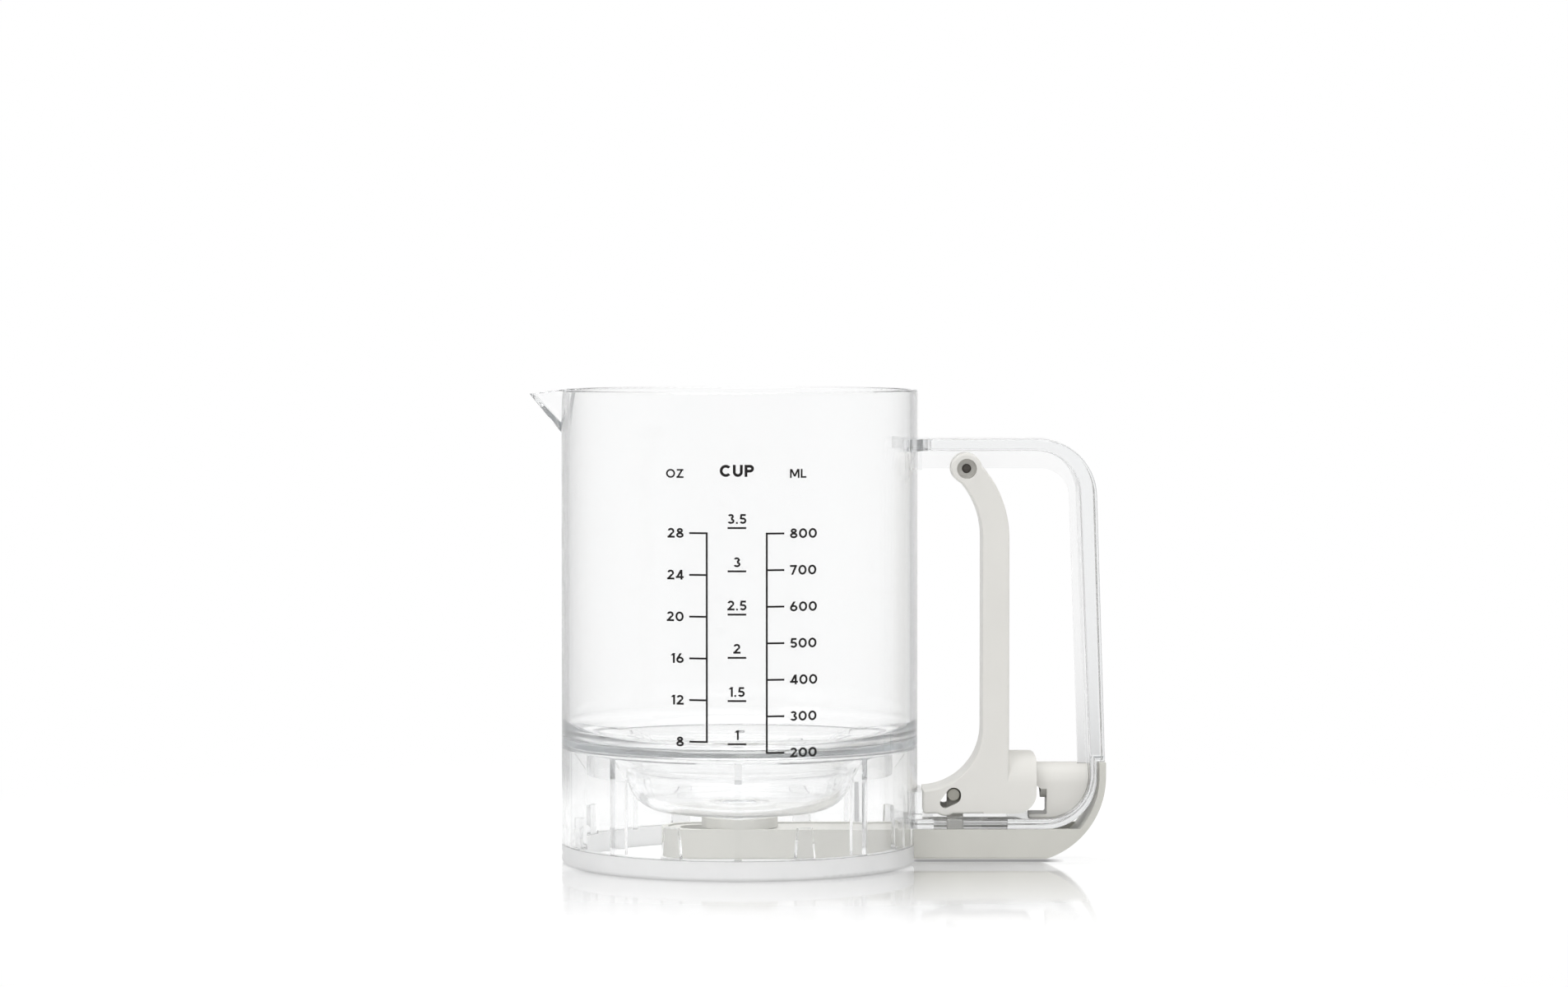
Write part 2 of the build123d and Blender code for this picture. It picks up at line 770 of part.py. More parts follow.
with BuildPart() as pivot_pin:
    with BuildSketch(Plane.XZ):
        with Locations((pivot_x, pivot_z)):
            Circle(pin_radius)
    extrude(amount=pin_half, both=True)
    fillet(pivot_pin.edges(), radius=0.5)
pivot_pin.part.label = "pivot_pin"
export_step(pivot_pin.part, "parts/pivot_pin.step")

# Return spring: one wire on biarcs, from the lever's seat to the end of the bore
wire_radius = 0.45
coil_radius = 3.2
coil_turns = 7
coil_start = shaft_left + lever_wall + wire_radius + 0.1
coil_end = bore_end - wire_radius - 0.1
coil_pitch = (coil_end - coil_start) / coil_turns


def coil_point(turn):
    """Point of the wire's centre line after so many turns."""
    a = 2 * math.pi * turn
    return Vector(coil_start + coil_pitch * turn, coil_radius * math.cos(a), spring_z + coil_radius * math.sin(a))


def coil_direction(turn):
    """Direction of the wire after so many turns."""
    a = 2 * math.pi * turn
    around = 2 * math.pi * coil_radius
    return Vector(coil_pitch, -around * math.sin(a), around * math.cos(a)).normalized()


def biarc_middle(p0, t0, p1, t1):
    """Joint of the two tangent arcs between p0 and p1, and the direction there."""
    v = p1 - p0
    a = 2 * (1 - t0.dot(t1))
    b = 2 * v.dot(t0 + t1)
    c = -v.dot(v)
    d = (-b + math.sqrt(b * b - 4 * a * c)) / (2 * a)
    q0 = p0 + t0 * d
    q1 = p1 - t1 * d
    return (q0 + q1) * 0.5, (q1 - q0).normalized()


with BuildPart() as return_spring:
    with BuildLine() as coil_path:
        for quarter in range(4 * coil_turns):
            start = coil_point(quarter / 4)
            end = coil_point((quarter + 1) / 4)
            start_dir = coil_direction(quarter / 4)
            end_dir = coil_direction((quarter + 1) / 4)
            middle, middle_dir = biarc_middle(start, start_dir, end, end_dir)
            TangentArc(start, middle, tangent=start_dir)
            TangentArc(middle, end, tangent=middle_dir)
    with BuildSketch(Plane(origin=coil_point(0), z_dir=coil_direction(0))):
        Circle(wire_radius)
    sweep()
return_spring.part.label = "return_spring"
export_step(return_spring.part, "parts/return_spring.step")

# Least gap between turns that are not neighbours along the wire
samples = [coil_point(i / 48) for i in range(48 * coil_turns + 1)]
least = min(
    (samples[i] - samples[j]).length - 2 * wire_radius
    for i in range(len(samples))
    for j in range(i + 24, len(samples))
)
print(f"spring: least gap to itself {least:.2f} mm; stroke of the gate {stroke:.2f} mm")
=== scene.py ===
"""Looks of the batter shaker: finishes, printed scale, return coil, studio and camera."""
import math

import bmesh
import bpy
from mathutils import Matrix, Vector


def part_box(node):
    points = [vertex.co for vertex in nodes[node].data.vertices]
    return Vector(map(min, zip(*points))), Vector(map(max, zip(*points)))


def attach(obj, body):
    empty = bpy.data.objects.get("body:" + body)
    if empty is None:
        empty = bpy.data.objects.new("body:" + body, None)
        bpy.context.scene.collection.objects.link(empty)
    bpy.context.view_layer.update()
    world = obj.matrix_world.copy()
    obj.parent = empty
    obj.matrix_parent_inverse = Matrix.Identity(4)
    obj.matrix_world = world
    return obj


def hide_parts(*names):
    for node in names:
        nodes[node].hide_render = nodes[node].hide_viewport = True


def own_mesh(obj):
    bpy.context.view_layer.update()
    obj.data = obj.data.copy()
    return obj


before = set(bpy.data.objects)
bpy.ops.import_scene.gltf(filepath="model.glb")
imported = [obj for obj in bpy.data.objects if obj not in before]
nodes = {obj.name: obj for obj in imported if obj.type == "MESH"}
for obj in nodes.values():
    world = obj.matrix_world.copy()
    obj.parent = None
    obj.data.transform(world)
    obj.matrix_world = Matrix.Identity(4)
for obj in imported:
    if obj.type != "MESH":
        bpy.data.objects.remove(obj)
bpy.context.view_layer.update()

# Places on the part, in metres as in the frame
JUG_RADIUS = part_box("jug_body")[1].y
FOOT_BAND_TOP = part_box("jug_body")[0].z
FOOT_INSIDE = 0.051
LINK_POST_TOP, LINK_BAR_LOW = 0.0185, 0.0200
SPRING_LOW, SPRING_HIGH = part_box("return_spring")
SPRING_Z = (SPRING_LOW.z + SPRING_HIGH.z) / 2


# Objects and meshes

def add_object(name, data):
    """New object in the scene."""
    thing = bpy.data.objects.new(name, data)
    bpy.context.scene.collection.objects.link(thing)
    return thing


def to_mesh(name, form):
    """Mesh of a form, which is freed."""
    mesh = bpy.data.meshes.new(name)
    form.to_mesh(mesh)
    form.free()
    return mesh


def join_rows(form, rows, following):
    """Faces between each closed row of corners and the row that follows it."""
    for row, after in zip(rows, following):
        for j in range(len(row)):
            n = (j + 1) % len(row)
            form.faces.new((row[j], row[n], after[n], after[j]))


def new_piece(name, mesh, material, body):
    """Object of the given mesh and material that rides on a body."""
    piece = add_object(name, mesh)
    mesh.materials.clear()
    mesh.materials.append(material)
    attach(piece, body)
    return piece


# Shader nodes
EVEN = (1, 1, 1)
NOISE_DETAIL = 3.0
NOISE_LOW, NOISE_HIGH = 0.3, 0.7


def add_node(tree, kind, inputs=None, **settings):
    """New node with its settings and the default values of its inputs."""
    node = tree.nodes.new(kind)
    for name, value in settings.items():
        setattr(node, name, value)
    for name, value in (inputs or {}).items():
        node.inputs[name].default_value = value
    return node


def math_node(tree, operation, a, b=None):
    """Math node whose inputs are sockets or numbers. Returns its output."""
    node = add_node(tree, "ShaderNodeMath", operation=operation)
    for socket, value in zip(node.inputs, (a, b)):
        if isinstance(value, (int, float)):
            socket.default_value = value
        elif value is not None:
            tree.links.new(value, socket)
    return node.outputs[0]


def multiply(tree, first, *others):
    """Product of sockets or numbers. Returns its output."""
    for other in others:
        first = math_node(tree, "MULTIPLY", first, other)
    return first


def blend(tree, share, first, second):
    """Value on the way from the first to the second, by a share. Returns its output."""
    step = multiply(tree, share, math_node(tree, "SUBTRACT", second, first))
    return math_node(tree, "ADD", step, first)


def ramp_node(tree, value, low, high, to_low, to_high, smooth=False):
    """Map Range from low..high to to_low..to_high, clamped. Returns its output."""
    node = add_node(tree, "ShaderNodeMapRange", {
        "From Min": low, "From Max": high, "To Min": to_low, "To Max": to_high,
    })
    node.interpolation_type = "SMOOTHSTEP" if smooth else "LINEAR"
    tree.links.new(value, node.inputs["Value"])
    return node.outputs["Result"]


def vector_node(tree, operation, vector, output):
    """Vector Math node with one input. Returns the named output."""
    node = add_node(tree, "ShaderNodeVectorMath", operation=operation)
    tree.links.new(vector, node.inputs[0])
    return node.outputs[output]


def split_axes(tree, vector):
    """X, Y and Z of a vector socket."""
    node = add_node(tree, "ShaderNodeSeparateXYZ")
    tree.links.new(vector, node.inputs[0])
    return [node.outputs[axis] for axis in "XYZ"]


def mix_shaders(tree, share, first, second):
    """Mix of two shader nodes, by a share of the second. Returns the new node."""
    node = add_node(tree, "ShaderNodeMixShader")
    tree.links.new(share, node.inputs[0])
    tree.links.new(first.outputs[0], node.inputs[1])
    tree.links.new(second.outputs[0], node.inputs[2])
    return node


def noise_node(tree, scale, stretch=EVEN):
    """Noise over the frame's own coordinates, stretched along X, Y and Z. Returns its factor."""
    place = add_node(tree, "ShaderNodeTexCoord")
    mapping = add_node(tree, "ShaderNodeMapping", {"Scale": stretch})
    noise = add_node(tree, "ShaderNodeTexNoise", {"Scale": scale, "Detail": NOISE_DETAIL})
    tree.links.new(place.outputs["Object"], mapping.inputs["Vector"])
    tree.links.new(mapping.outputs["Vector"], noise.inputs["Vector"])
    return noise.outputs["Fac"]


def wander(tree, low, high, scale, stretch=EVEN):
    """Value that wanders between low and high over the surface. Returns its output."""
    return ramp_node(tree, noise_node(tree, scale, stretch), NOISE_LOW, NOISE_HIGH, low, high)


def height_above_floor(tree):
    """Height in the frame, as a socket."""
    place = add_node(tree, "ShaderNodeTexCoord")
    return split_axes(tree, place.outputs["Object"])[2]


# Materials
CLEAR_IOR = 1.49
SMOKE = (0.80, 0.82, 0.83, 1)
FLOW_LINES, FLOW_WAVES = (1, 1, 0.25), (1, 1, 0.12)
BAND_FADE = 0.0006
BAND_CLARITY = 0.42
TONGUE_FROST = 0.05
SATIN = {"IOR": 1.46, "Specular_IOR_Level": 0.45}
CREAM_CLOUDS = (1, 1, 0.5)
DRAWN = (4, 0.3, 4)

# Each finish wanders between two close colours. The link goes from its post's tone, lightened as painted
# light, to its bar's, darkened as painted shade in the lever's slot.
MILK = (0.93, 0.93, 0.93), (0.89, 0.895, 0.895)
LEVER_CREAM = (0.715, 0.705, 0.672), (0.690, 0.680, 0.648)
# The cover's cream is darker than the lever's; the difference is painted shade.
COVER_SHADED_CREAM = (0.570, 0.565, 0.525), (0.545, 0.540, 0.502)
LINK_POST_AND_SHADED_BAR = (0.740, 0.732, 0.690), (0.325, 0.318, 0.280)
SEAL_WHITE = (0.80, 0.80, 0.78), (0.74, 0.74, 0.72)
PIN_STEEL = (0.13, 0.12, 0.11), (0.08, 0.075, 0.07)
# The spring's dark steel is darkened further as painted shade between the lever's heel and the housing.
SPRING_SHADED_STEEL = (0.30, 0.30, 0.29), (0.20, 0.20, 0.195)
INK_BLACK = (0.010, 0.009, 0.009), (0.018, 0.016, 0.016)


def new_material(name, **values):
    """Material with one Principled shader and the given values on its sockets."""
    material = bpy.data.materials.new(name)
    material.use_nodes = True
    shader = material.node_tree.nodes["Principled BSDF"]
    for key, value in values.items():
        shader.inputs[key.replace("_", " ")].default_value = value
    return material, material.node_tree, shader


def set_colour(tree, shader, colours, share):
    """Base colour between two colours, by a share of the second."""
    first, second = colours
    mix = add_node(tree, "ShaderNodeMix", {"A": (*first, 1), "B": (*second, 1)}, data_type="RGBA")
    tree.links.new(share, mix.inputs["Factor"])
    tree.links.new(mix.outputs["Result"], shader.inputs["Base Color"])


def vary_colour(tree, shader, colours, scale, stretch=EVEN):
    """Base colour that wanders between two colours."""
    set_colour(tree, shader, colours, wander(tree, 0.0, 1.0, scale, stretch))


def vary_roughness(tree, shader, low, high, scale, stretch=EVEN):
    """Roughness that wanders between low and high."""
    tree.links.new(wander(tree, low, high, scale, stretch), shader.inputs["Roughness"])


def add_bump(tree, shader, distance, scale, stretch=EVEN):
    """Bump from noise, with its height in metres."""
    bump = add_node(tree, "ShaderNodeBump", {"Strength": 1.0, "Distance": distance})
    tree.links.new(noise_node(tree, scale, stretch), bump.inputs["Height"])
    tree.links.new(bump.outputs["Normal"], shader.inputs["Normal"])


def clear_plastic(name, tint, density):
    """Polished clear plastic: faint upright flow lines, and a grey that shows in depth."""
    material, tree, shader = new_material(
        name, Base_Color=(tint, tint, tint, 1), IOR=CLEAR_IOR, Transmission_Weight=0.95,
    )
    vary_roughness(tree, shader, low=0.0, high=0.03, scale=60.0, stretch=FLOW_LINES)
    add_bump(tree, shader, distance=0.00002, scale=70.0, stretch=FLOW_WAVES)
    depth = add_node(tree, "ShaderNodeVolumeAbsorption", {"Color": SMOKE, "Density": density})
    tree.links.new(depth.outputs["Volume"], tree.nodes["Material Output"].inputs["Volume"])
    return material


def milky_plastic():
    """Frosted band of the foot, which turns clear in the tongues above it."""
    material, tree, shader = new_material("milky_plastic", IOR=CLEAR_IOR)
    vary_colour(tree, shader, MILK, scale=90.0)
    height = height_above_floor(tree)
    fade = (FOOT_BAND_TOP, FOOT_BAND_TOP + BAND_FADE)
    tree.links.new(ramp_node(tree, height, *fade, BAND_CLARITY, 1.0), shader.inputs["Transmission Weight"])
    grain = wander(tree, low=0.28, high=0.42, scale=220.0)
    frost = ramp_node(tree, height, *fade, 1.0, TONGUE_FROST)
    tree.links.new(multiply(tree, grain, frost), shader.inputs["Roughness"])
    add_bump(tree, shader, distance=0.000004, scale=1800.0)
    return material


def add_satin(tree, shader):
    """Fine spark-eroded grain of the off-white mouldings."""
    vary_roughness(tree, shader, low=0.36, high=0.50, scale=160.0)
    add_bump(tree, shader, distance=0.000012, scale=2600.0)


def cream_plastic(name, colours):
    """Satin off-white moulding."""
    material, tree, shader = new_material(name, **SATIN)
    vary_colour(tree, shader, colours, scale=55.0, stretch=CREAM_CLOUDS)
    add_satin(tree, shader)
    return material


def link_plastic():
    """The link's satin moulding: a post painted pale as if lit, and a cross bar painted darker as shade in
    the lever's slot.
    """
    material, tree, shader = new_material("link_painted_shade", **SATIN)
    # The bar's darker colour, set by height, is painted shade.
    bar = ramp_node(tree, height_above_floor(tree), LINK_POST_TOP, LINK_BAR_LOW, 0.0, 1.0)
    set_colour(tree, shader, LINK_POST_AND_SHADED_BAR, bar)
    add_satin(tree, shader)
    return material


def silicone():
    """Soft translucent rubber of the seal."""
    material, tree, shader = new_material("silicone", IOR=1.41, Transmission_Weight=0.25)
    vary_colour(tree, shader, SEAL_WHITE, scale=200.0)
    vary_roughness(tree, shader, low=0.50, high=0.65, scale=300.0)
    return material


def steel(name, colours, low, high):
    """Drawn steel, with fine marks, whose roughness wanders between low and high."""
    material, tree, shader = new_material(name, Metallic=1.0)
    vary_colour(tree, shader, colours, scale=400.0, stretch=DRAWN)
    vary_roughness(tree, shader, low, high, scale=600.0, stretch=DRAWN)
    add_bump(tree, shader, distance=0.000006, scale=900.0, stretch=DRAWN)
    return material


def ink():
    """Matt screen-printed ink, a little thinner in places."""
    material, tree, shader = new_material("scale_ink", IOR=1.45, Specular_IOR_Level=0.2)
    vary_colour(tree, shader, INK_BLACK, scale=700.0)
    vary_roughness(tree, shader, low=0.45, high=0.60, scale=900.0)
    return material


lever_finish = cream_plastic("lever_cream", LEVER_CREAM)
# The cover's finish carries a painted shade in its darker cream.
cover_shaded_finish = cream_plastic("cover_cream_painted_shade", COVER_SHADED_CREAM)
# The spring's steel carries a painted shade.
spring_shaded_finish = steel("spring_steel", SPRING_SHADED_STEEL, low=0.22, high=0.36)
ink_finish = ink()
FINISHES = {
    "jug_body": clear_plastic("jug_clear", tint=0.978, density=32.0),
    "handle": clear_plastic("handle_clear", tint=0.945, density=18.0),
    "foot_ring": milky_plastic(),
    "lever": lever_finish,
    "spring_housing": lever_finish,
    "base_cover": cover_shaded_finish,
    "valve_gate": cover_shaded_finish,
    "drive_link": link_plastic(),
    "valve_seal": silicone(),
    "pivot_pin": steel("pin_steel", PIN_STEEL, low=0.30, high=0.45),
    "return_spring": spring_shaded_finish,
}
for node_name, finish in FINISHES.items():
    nodes[node_name].data.materials.clear()
    nodes[node_name].data.materials.append(finish)

# Light passes the clear pieces, which would otherwise cast the shadow of an opaque one
for node_name in ("jug_body", "handle"):
    nodes[node_name].visible_shadow = False


# Printed measuring scale, wrapped on the front of the jug. Sizes are along the wall, from its middle.
INK_FRONT, INK_BACK = 0.00006, 0.00002
INK_STEP = 0.0012
LINE_WIDTH = 0.00058
TICK_LENGTH = 0.0053
NUMBER_GAP = 0.0017
UNDERLINE_HALF = 0.00282
OUNCE_LINE, MILLILITRE_LINE, SCALE_MIDDLE = -0.0094, 0.0087, -0.0003
OUNCE_TOP_Z, OUNCE_STEP = 0.1055, 0.01263
MILLILITRE_TOP_Z, MILLILITRE_STEP = 0.1054, 0.01106
CUP_TOP_Z, CUP_STEP = 0.1071, 0.01307
CUP_NUMBER_RISE = 0.00275
HEADING_Z, CUP_HEADING_Z = 0.12347, 0.12435

# Height of each kind of sign, and the weight of its strokes for a height of 1
DIGITS = 0.00297, 0.20
HEADING = 0.0027, 0.19
CUP_HEADING = 0.00363, 0.235
LETTER_GAP = 0.15
SIGN_MIDDLE = 0.5
ALIGNMENT = {"left": 0.0, "middle": 0.5, "right": 1.0}

# Steps of a straight and of a round stroke
SIGN_STEPS = 4
BOW_STEPS, BOW_STEP_DEG = 6, 10
FULL_TURN = 360


def wrap(across, up, lift):
    """Point on the jug's front, from the distance along the wall and the height."""
    angle = math.asin(max(-1.0, min(1.0, across / JUG_RADIUS)))
    radius = JUG_RADIUS + lift
    return Vector((radius * math.sin(angle), -radius * math.cos(angle), up))


def add_strip(form, pairs):
    """Wrapped strip of ink, closed on all sides, from the pairs of points along its two edges."""
    rows = [
        [
            form.verts.new(wrap(*first, INK_FRONT)),
            form.verts.new(wrap(*second, INK_FRONT)),
            form.verts.new(wrap(*second, INK_BACK)),
            form.verts.new(wrap(*first, INK_BACK)),
        ]
        for first, second in pairs
    ]
    if pairs[0] == pairs[-1]:
        bmesh.ops.delete(form, geom=rows.pop(), context="VERTS")
        join_rows(form, rows, rows[1:] + rows[:1])
    else:
        join_rows(form, rows, rows[1:])
        form.faces.new(rows[0])
        form.faces.new(rows[-1])


def level_stroke(left, right, middle, weight, steps=SIGN_STEPS):
    """Straight stroke along the wall, with upright ends, in steps that follow the curve."""
    half = weight / 2
    xs = [left + (right - left) * k / steps for k in range(steps + 1)]
    return [((x, middle - half), (x, middle + half)) for x in xs]


def level_line(left, right, middle):
    """Level line of the scale."""
    return level_stroke(left, right, middle, LINE_WIDTH, math.ceil((right - left) / INK_STEP))


def slanted_stroke(low_x, low, high_x, high, weight):
    """Upright or slanted stroke with level ends."""
    half = weight / 2 * math.hypot(high_x - low_x, high - low) / (high - low)
    return [((low_x - half, low), (low_x + half, low)), ((high_x - half, high), (high_x + half, high))]


def bow(middle, radii, start, end, weight):
    """Round stroke about a middle point, from one angle to another in degrees."""
    steps = max(BOW_STEPS, math.ceil(abs(end - start) / BOW_STEP_DEG))
    half = weight / 2
    pairs = []
    for k in range(steps + 1):
        part = k % steps if abs(end - start) == FULL_TURN else k
        a = math.radians(start + (end - start) * part / steps)
        pairs.append(tuple(
            (middle[0] + (radii[0] + side) * math.cos(a), middle[1] + (radii[1] + side) * math.sin(a))
            for side in (-half, half)
        ))
    return pairs


def glyph(sign, t):
    """Width of a sign and its strokes, drawn for a height of 1 and strokes of weight t."""
    c = t / 2
    shapes = {
        "0": (0.84, [bow((0.42, 0.5), (0.42 - c, 0.5 - c), 0, FULL_TURN, t)]),
        "1": (0.38, [slanted_stroke(0.38 - c, 0, 0.38 - c, 1, t), slanted_stroke(0.08, 0.76, 0.32, 1, t)]),
        "2": (0.74, [
            bow((0.36, 0.69), (0.34 - c, 0.31 - c), 168, -40, t),
            slanted_stroke(0.13, c, 0.36 + (0.34 - c) * 0.72, 0.56, t),
            level_stroke(0.0, 0.74, c, t),
        ]),
        "3": (0.72, [
            bow((0.35, 0.74), (0.31 - c, 0.26 - c), 158, -88, t),
            bow((0.36, 0.28), (0.36 - c, 0.28 - c), 86, -158, t),
        ]),
        "4": (0.80, [
            slanted_stroke(0.58, 0, 0.58, 1, t),
            level_stroke(0.0, 0.80, 0.26, t),
            slanted_stroke(0.10, 0.26 - c, 0.56, 1, t),
        ]),
        "5": (0.72, [
            level_stroke(0.13, 0.66, 1 - c, t),
            slanted_stroke(0.15, 0.46, 0.20, 1 - c, t),
            bow((0.36, 0.32), (0.36 - c, 0.32 - c), 128, -152, t),
        ]),
        "6": (0.76, [
            bow((0.38, 0.325), (0.38 - c, 0.325 - c), 0, FULL_TURN, t),
            slanted_stroke(0.12, 0.45, 0.46, 1, t),
        ]),
        "7": (0.70, [level_stroke(0.0, 0.70, 1 - c, t), slanted_stroke(0.22, 0, 0.60, 1 - c, t)]),
        "8": (0.76, [
            bow((0.38, 0.745), (0.31 - c, 0.255 - c), 0, FULL_TURN, t),
            bow((0.38, 0.285), (0.38 - c, 0.285 - c), 0, FULL_TURN, t),
        ]),
        ".": (0.19, [level_stroke(0.0, 0.19, 0.095, 0.19)]),
        "C": (0.94, [bow((0.5, 0.5), (0.5 - c, 0.5 - c), 42, 318, t)]),
        "L": (0.62, [slanted_stroke(c, 0, c, 1, t), level_stroke(c, 0.62, c, t)]),
        "M": (1.06, [
            slanted_stroke(c, 0, c, 1, t),
            slanted_stroke(1.06 - c, 0, 1.06 - c, 1, t),
            slanted_stroke(0.53 + 0.01, 0.16, c + 0.05, 1, t),
            slanted_stroke(0.53 - 0.01, 0.16, 1.06 - c - 0.05, 1, t),
        ]),
        "O": (1.02, [bow((0.51, 0.5), (0.51 - c, 0.5 - c), 0, FULL_TURN, t)]),
        "P": (0.78, [
            slanted_stroke(c, 0, c, 1, t),
            level_stroke(c, 0.44, 1 - c, t),
            level_stroke(c, 0.44, 0.36 + c, t),
            bow((0.44, 0.68), (0.34 - c, 0.32 - c), -90, 90, t),
        ]),
        "U": (0.82, [
            slanted_stroke(c, 0.38, c, 1, t),
            slanted_stroke(0.82 - c, 0.38, 0.82 - c, 1, t),
            bow((0.41, 0.38), (0.41 - c, 0.38 - c), 180, 360, t),
        ]),
        "Z": (0.80, [
            level_stroke(0.04, 0.78, 1 - c, t),
            level_stroke(0.0, 0.80, c, t),
            slanted_stroke(0.15, c, 0.63, 1 - c, t),
        ]),
    }
    return shapes[sign]


def add_words(form, words, anchor, middle_z, size, align):
    """Wrapped signs, set from the left, the middle or the right of the anchor."""
    height, weight = size
    signs = [glyph(sign, weight) for sign in words]
    length = sum(width for width, strokes in signs) + LETTER_GAP * (len(signs) - 1)
    x = -length * ALIGNMENT[align]
    for width, strokes in signs:
        for pairs in strokes:
            add_strip(form, [
                tuple(
                    (anchor + (x + px) * height, middle_z + (py - SIGN_MIDDLE) * height)
                    for px, py in pair
                )
                for pair in pairs
            ])
        x += width + LETTER_GAP


def add_ink(name, form):
    """Piece of ink from a finished form."""
    bmesh.ops.recalc_face_normals(form, faces=form.faces)
    new_piece(name, to_mesh(name, form), ink_finish, "jug")


def side_scale(name, heading, line, side, numbers, top_z, step):
    """Scale beside the middle: an upright line, with ticks and numbers on its outer side."""
    form = bmesh.new()
    bottom_z = top_z - step * (len(numbers) - 1)
    half = LINE_WIDTH / 2
    add_strip(form, slanted_stroke(line, bottom_z - half, line, top_z + half, LINE_WIDTH))
    align = "right" if side < 0 else "left"
    start = line + side * (TICK_LENGTH + NUMBER_GAP)
    for k, number in enumerate(numbers):
        tick_z = top_z - step * k
        add_strip(form, level_line(*sorted((line, line + side * TICK_LENGTH)), tick_z))
        add_words(form, number, start, tick_z, DIGITS, align)
    add_words(form, heading, start, HEADING_Z, HEADING, align)
    add_ink(name, form)


def middle_scale(name, heading, numbers, top_z, step):
    """Scale in the middle: underlined numbers under a larger heading."""
    form = bmesh.new()
    for k, number in enumerate(numbers):
        line_z = top_z - step * k
        add_strip(form, level_line(SCALE_MIDDLE - UNDERLINE_HALF, SCALE_MIDDLE + UNDERLINE_HALF, line_z))
        add_words(form, number, SCALE_MIDDLE, line_z + CUP_NUMBER_RISE, DIGITS, "middle")
    add_words(form, heading, SCALE_MIDDLE, CUP_HEADING_Z, CUP_HEADING, "middle")
    add_ink(name, form)


side_scale(
    "scale_ounces", "OZ", OUNCE_LINE, -1,
    ("28", "24", "20", "16", "12", "8"), OUNCE_TOP_Z, OUNCE_STEP,
)
side_scale(
    "scale_millilitres", "ML", MILLILITRE_LINE, 1,
    ("800", "700", "600", "500", "400", "300", "200"), MILLILITRE_TOP_Z, MILLILITRE_STEP,
)
middle_scale("scale_cups", "CUP", ("3.5", "3", "2.5", "2", "1.5", "1"), CUP_TOP_Z, CUP_STEP)


# Return spring
WIRE_RADIUS = 0.00045
COIL_RADIUS = (SPRING_HIGH.z - SPRING_LOW.z) / 2 - WIRE_RADIUS
COIL_TURNS = 7
WIRE_SIDES = 12
TURN_STEPS = 32


def coil_mesh(name):
    """Coil of round wire between the lever's seat and the end of the housing's bore."""
    form = bmesh.new()
    rings = []
    start_x = SPRING_LOW.x + WIRE_RADIUS
    pitch = (SPRING_HIGH.x - SPRING_LOW.x - 2 * WIRE_RADIUS) / COIL_TURNS
    sides = [2 * math.pi * j / WIRE_SIDES for j in range(WIRE_SIDES)]
    for k in range(COIL_TURNS * TURN_STEPS + 1):
        angle = 2 * math.pi * k / TURN_STEPS
        out = Vector((0, math.cos(angle), math.sin(angle)))
        centre = Vector((start_x + pitch * k / TURN_STEPS, 0, SPRING_Z)) + out * COIL_RADIUS
        round_speed = 2 * math.pi * COIL_RADIUS
        run = Vector((pitch, -round_speed * math.sin(angle), round_speed * math.cos(angle)))
        across = run.normalized().cross(out)
        rings.append([
            form.verts.new(centre + WIRE_RADIUS * (out * math.cos(a) + across * math.sin(a)))
            for a in sides
        ])
    join_rows(form, rings, rings[1:])
    form.faces.new(rings[0])
    form.faces.new(list(reversed(rings[-1])))
    bmesh.ops.recalc_face_normals(form, faces=form.faces)
    mesh = to_mesh(name, form)
    for face in mesh.polygons:
        face.use_smooth = len(face.vertices) < WIRE_SIDES
    return mesh


coil = new_piece("return_coil", coil_mesh("return_coil"), spring_shaded_finish, "jug")
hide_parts("return_spring")
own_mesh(coil)


# Studio. Ranges of the room are sines of the angle from the backdrop's middle, and of the height.
WHITE = (1, 1, 1, 1)
TINY = 1e-8
BACKDROP_NEAR, BACKDROP_FAR = 0.08, 0.50
SIDE_LEVEL = 0.62
WING_NEAR, WING_FAR = 0.60, 0.95
WING_LEVEL = 0.80
FRONT_NEAR, FRONT_FAR = 0.5, 1.0
FRONT_LEVEL = 0.66
OVERHEAD_LOW, OVERHEAD_HIGH = 0.12, 0.60
OVERHEAD_LEVEL = 0.36
AMBIENT = 0.62

# Floor and the film over it, with the range from the jug's axis in which the floor turns white
FLOOR_SIZE = 60.0
FLOOR_CORNERS = ((-1, -1), (1, -1), (1, 1), (-1, 1))
FLOOR_DROP, FILM_DROP = 0.00004, 0.00002
FILM_PASSED = 0.5
FLOOR_NEAR, FLOOR_FAR = 0.16, 0.34
FLOOR_WHITE = 0.80
FLOOR_LIT = 0.24
FLOOR_ALBEDO = (0.80, 0.80, 0.80, 1)

# Mirror image in the floor, weaker in a strip on either side of the cover
MIRROR_ROUGHNESS = 0.06
MIRROR_SHARE = 1.07
MIRROR_ROOM = 0.75
MIRROR_SHIFT, MIRROR_SCALE = (-0.018, 0, 0), (0.62, 1, 1)
MIRROR_NEAR, MIRROR_FAR = 0.030, 0.180
STRIP_START, STRIP_NEAR = 0.004, 0.008
STRIP_FAR, STRIP_END = 0.024, 0.030
STRIP_SHARE = 0.60
GRAZE_BLEND = 0.5

# Shade on the floor where the cover rests on it, between the foot and the handle's back
SHADE_CORE, SHADE_EDGE = 0.002, 0.006
SHADE_END, SHADE_GONE = 0.096, 0.102
SHADE_LEVEL = 0.27

# Lamps: name, place, side and power
LAMP_AIM = (0.03, 0.0, 0.07)
LAMPS = (
    ("key", (0.3, -1.5, 1.2), 0.9, 5.5),
    ("fill", (-1.1, -1.1, 0.7), 0.8, 4.0),
    ("top", (0.1, 0.0, 1.5), 1.2, 12.0),
)

